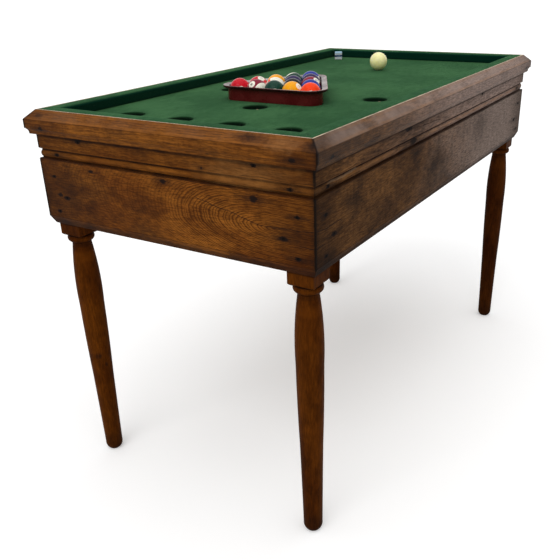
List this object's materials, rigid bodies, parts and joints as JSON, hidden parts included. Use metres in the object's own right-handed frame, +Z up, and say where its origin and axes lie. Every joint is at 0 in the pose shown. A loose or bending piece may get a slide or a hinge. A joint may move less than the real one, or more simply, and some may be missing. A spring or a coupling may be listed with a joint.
{
  "type": "bar billiards table",
  "caption": "Wooden bar billiards table on four turned legs with a cloth bed, pocket holes, low cushions, an inner ball return, and racked balls, cue ball and chalk.",
  "frame": {"origin": "middle of the footprint on the floor", "axes": "+X along the table to the player's end, +Y across to the player's right, +Z up"},
  "size_m": [1.325, 0.717, 0.9021],
  "materials": {
    "oak_rail": "waxed, worn",
    "oak_board": "waxed, worn",
    "oak_leg": "waxed",
    "pine": "bare",
    "beech": "bare",
    "green_cloth": "napped wool",
    "black_rubber": "matte",
    "brass": "dull",
    "iron": "dull",
    "maroon_plastic": "gloss",
    "chalk_blue": "chalky",
    "ball_cream": "polished",
    "ball_ivory": "polished",
    "ball_yellow": "polished",
    "ball_blue": "polished",
    "ball_red": "polished",
    "ball_purple": "polished",
    "ball_orange": "polished",
    "ball_green": "polished",
    "ball_maroon": "polished",
    "ball_black": "polished"
  },
  "bodies": {
    "table": {"bed_board": "pine", "bed_cloth": "green_cloth", "cloth_tacks": "brass", "cut_nails": "iron", "cap_rail_left_side": "oak_rail", "frieze_board_left_side": "oak_board", "apron_board_left_side": "oak_board", "cushion_rail_left_side": "pine", "cushion_rubber_left_side": "black_rubber", "cushion_cloth_left_side": "green_cloth", "bearer_left_side": "pine", "cap_rail_player_end": "oak_rail", "frieze_board_player_end": "oak_board", "apron_board_player_end": "oak_board", "cushion_rail_player_end": "pine", "cushion_rubber_player_end": "black_rubber", "cushion_cloth_player_end": "green_cloth", "bearer_player_end": "pine", "cap_rail_right_side": "oak_rail", "frieze_board_right_side": "oak_board", "apron_board_right_side": "oak_board", "cushion_rail_right_side": "pine", "cushion_rubber_right_side": "black_rubber", "cushion_cloth_right_side": "green_cloth", "bearer_right_side": "pine", "cap_rail_pocket_end": "oak_rail", "frieze_board_pocket_end": "oak_board", "apron_board_pocket_end": "oak_board", "cushion_rail_pocket_end": "pine", "cushion_rubber_pocket_end": "black_rubber", "cushion_cloth_pocket_end": "green_cloth", "bearer_pocket_end": "pine", "feather_strips": "beech", "leg_player_left": "oak_leg", "leg_player_right": "oak_leg", "leg_pocket_left": "oak_leg", "leg_pocket_right": "oak_leg", "return_board": "pine", "return_fences": "pine", "cross_bearers": "pine", "ball_trough": "pine"},
    "rack": {"rack_sides": "maroon_plastic", "rack_corners": "maroon_plastic"},
    "cue_ball": {"cue_ball": "ball_cream"},
    "chalk": {"chalk": "chalk_blue"},
    "ball_03": {"ball_03": "ball_red"},
    "ball_15": {"ball_15": "ball_ivory"},
    "ball_06": {"ball_06": "ball_green"},
    "ball_01": {"ball_01": "ball_yellow"},
    "ball_05": {"ball_05": "ball_orange"},
    "ball_11": {"ball_11": "ball_ivory"},
    "ball_13": {"ball_13": "ball_ivory"},
    "ball_08": {"ball_08": "ball_black"},
    "ball_10": {"ball_10": "ball_ivory"},
    "ball_09": {"ball_09": "ball_ivory"},
    "ball_04": {"ball_04": "ball_purple"},
    "ball_07": {"ball_07": "ball_maroon"},
    "ball_14": {"ball_14": "ball_ivory"},
    "ball_12": {"ball_12": "ball_ivory"},
    "ball_02": {"ball_02": "ball_blue"}
  },
  "joints": [
    {"name": "rack_lift", "type": "slide", "parent": "table", "child": "rack", "axis": [0, 0, 1], "range_m": [0, 0.12]},
    {"name": "cue_ball_roll", "type": "slide", "parent": "table", "child": "cue_ball", "axis": [1, 0, 0], "range_m": [-0.34, 0.235]},
    {"name": "chalk_lift", "type": "slide", "parent": "table", "child": "chalk", "axis": [0, 0, 1], "range_m": [0, 0.1]},
    {"name": "ball_03_lift", "type": "slide", "parent": "table", "child": "ball_03", "axis": [0, 0, 1], "range_m": [0, 0.1]},
    {"name": "ball_15_lift", "type": "slide", "parent": "table", "child": "ball_15", "axis": [0, 0, 1], "range_m": [0, 0.1]},
    {"name": "ball_06_lift", "type": "slide", "parent": "table", "child": "ball_06", "axis": [0, 0, 1], "range_m": [0, 0.1]},
    {"name": "ball_01_lift", "type": "slide", "parent": "table", "child": "ball_01", "axis": [0, 0, 1], "range_m": [0, 0.1]},
    {"name": "ball_05_lift", "type": "slide", "parent": "table", "child": "ball_05", "axis": [0, 0, 1], "range_m": [0, 0.1]},
    {"name": "ball_11_lift", "type": "slide", "parent": "table", "child": "ball_11", "axis": [0, 0, 1], "range_m": [0, 0.1]},
    {"name": "ball_13_lift", "type": "slide", "parent": "table", "child": "ball_13", "axis": [0, 0, 1], "range_m": [0, 0.1]},
    {"name": "ball_08_lift", "type": "slide", "parent": "table", "child": "ball_08", "axis": [0, 0, 1], "range_m": [0, 0.1]},
    {"name": "ball_10_lift", "type": "slide", "parent": "table", "child": "ball_10", "axis": [0, 0, 1], "range_m": [0, 0.1]},
    {"name": "ball_09_lift", "type": "slide", "parent": "table", "child": "ball_09", "axis": [0, 0, 1], "range_m": [0, 0.1]},
    {"name": "ball_04_lift", "type": "slide", "parent": "table", "child": "ball_04", "axis": [0, 0, 1], "range_m": [0, 0.1]},
    {"name": "ball_07_lift", "type": "slide", "parent": "table", "child": "ball_07", "axis": [0, 0, 1], "range_m": [0, 0.1]},
    {"name": "ball_14_lift", "type": "slide", "parent": "table", "child": "ball_14", "axis": [0, 0, 1], "range_m": [0, 0.1]},
    {"name": "ball_12_lift", "type": "slide", "parent": "table", "child": "ball_12", "axis": [0, 0, 1], "range_m": [0, 0.1]},
    {"name": "ball_02_lift", "type": "slide", "parent": "table", "child": "ball_02", "axis": [0, 0, 1], "range_m": [0, 0.1]}
  ]
}
